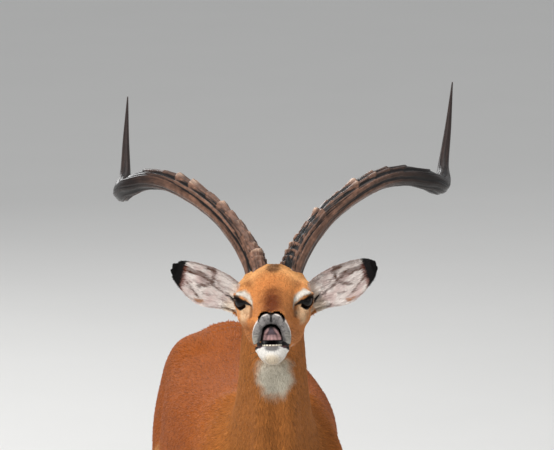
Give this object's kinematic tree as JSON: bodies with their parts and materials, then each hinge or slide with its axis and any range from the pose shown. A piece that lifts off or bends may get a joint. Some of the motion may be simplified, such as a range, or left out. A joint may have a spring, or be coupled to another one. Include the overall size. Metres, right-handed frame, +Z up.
{
  "type": "impala antelope",
  "caption": "Impala ram standing with its head raised, upper lip curled, ears out and wide lyre-shaped ringed horns; still life-size animal model with hoof flats.",
  "frame": {"origin": "middle of the model's bounding box in X and Y, at the floor under the hooves", "axes": "+Z up; the ram faces -Y, with its head turned a little towards -X; its left side is at +X"},
  "size_m": [0.567, 1.2758, 1.3636],
  "materials": {
    "coat": "short red-brown hair with white belly, lips and ears and black stripes",
    "horn": "dark grey-brown ringed horn with smooth tips",
    "eye": "glossy dark brown",
    "hoof": "satin black",
    "teeth": "off-white enamel"
  },
  "bodies": {
    "root": {"ear_left": "coat", "ear_right": "coat", "eye_left": "eye", "eye_right": "eye", "foreleg_left_lower": "coat", "foreleg_left_upper": "coat", "foreleg_right_lower": "coat", "foreleg_right_upper": "coat", "head": "coat", "hindleg_left_lower": "coat", "hindleg_left_upper": "coat", "hindleg_right_lower": "coat", "hindleg_right_upper": "coat", "hoof_front_left_inner": "hoof", "hoof_front_left_outer": "hoof", "hoof_front_right_inner": "hoof", "hoof_front_right_outer": "hoof", "hoof_hind_left_inner": "hoof", "hoof_hind_left_outer": "hoof", "hoof_hind_right_inner": "hoof", "hoof_hind_right_outer": "hoof", "horn_left": "horn", "horn_right": "horn", "lower_jaw": "coat", "lower_teeth": "teeth", "neck": "coat", "tail": "coat", "trunk": "coat"}
  },
  "joints": []
}
